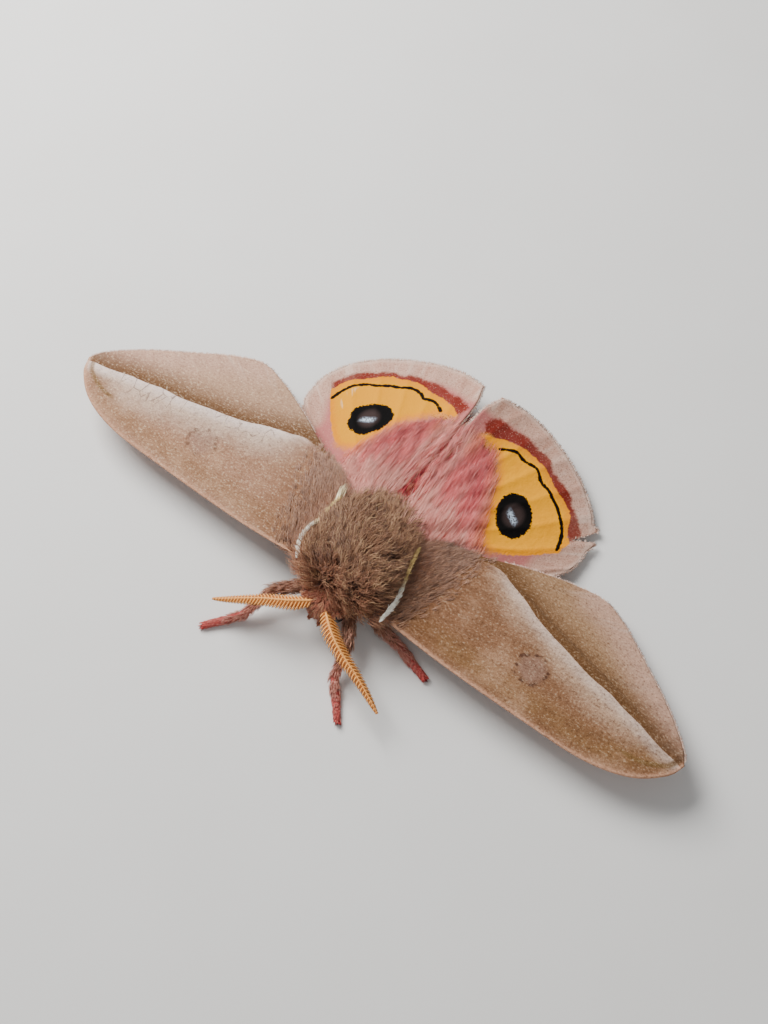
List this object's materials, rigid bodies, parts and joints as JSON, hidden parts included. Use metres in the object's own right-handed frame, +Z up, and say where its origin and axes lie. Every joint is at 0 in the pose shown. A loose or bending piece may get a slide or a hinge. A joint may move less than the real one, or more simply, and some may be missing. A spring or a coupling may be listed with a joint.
{
  "type": "moth (automeris ovalina)",
  "caption": "Life-size male eyed silk moth at rest, brown forewings spread over rose hindwings that show their eyespots.",
  "frame": {"origin": "centre of the bounding box on the floor that the feet stand on", "axes": "+X to the moth's left along the wing span, -Y to its head, +Z up from the floor"},
  "size_m": [0.085, 0.0438, 0.0103],
  "materials": {
    "brown_fur": "matt hair",
    "wing_brown": "matt scales",
    "wing_rose": "matt scales and hair",
    "antenna_orange": "satin",
    "leg_red": "matt hair",
    "eye_dark": "glossy"
  },
  "bodies": {
    "root": {"thorax": "brown_fur", "head": "brown_fur", "eye_left": "eye_dark", "eye_right": "eye_dark", "palp_left": "leg_red", "palp_right": "leg_red", "antenna_left": "antenna_orange", "antenna_right": "antenna_orange", "abdomen": "wing_rose", "forewing_left": "wing_brown", "forewing_right": "wing_brown", "hindwing_left": "wing_rose", "hindwing_right": "wing_rose", "leg_fore_left": "leg_red", "leg_fore_right": "leg_red", "leg_mid_left": "leg_red", "leg_mid_right": "leg_red", "leg_hind_left": "leg_red", "leg_hind_right": "leg_red"}
  },
  "joints": []
}
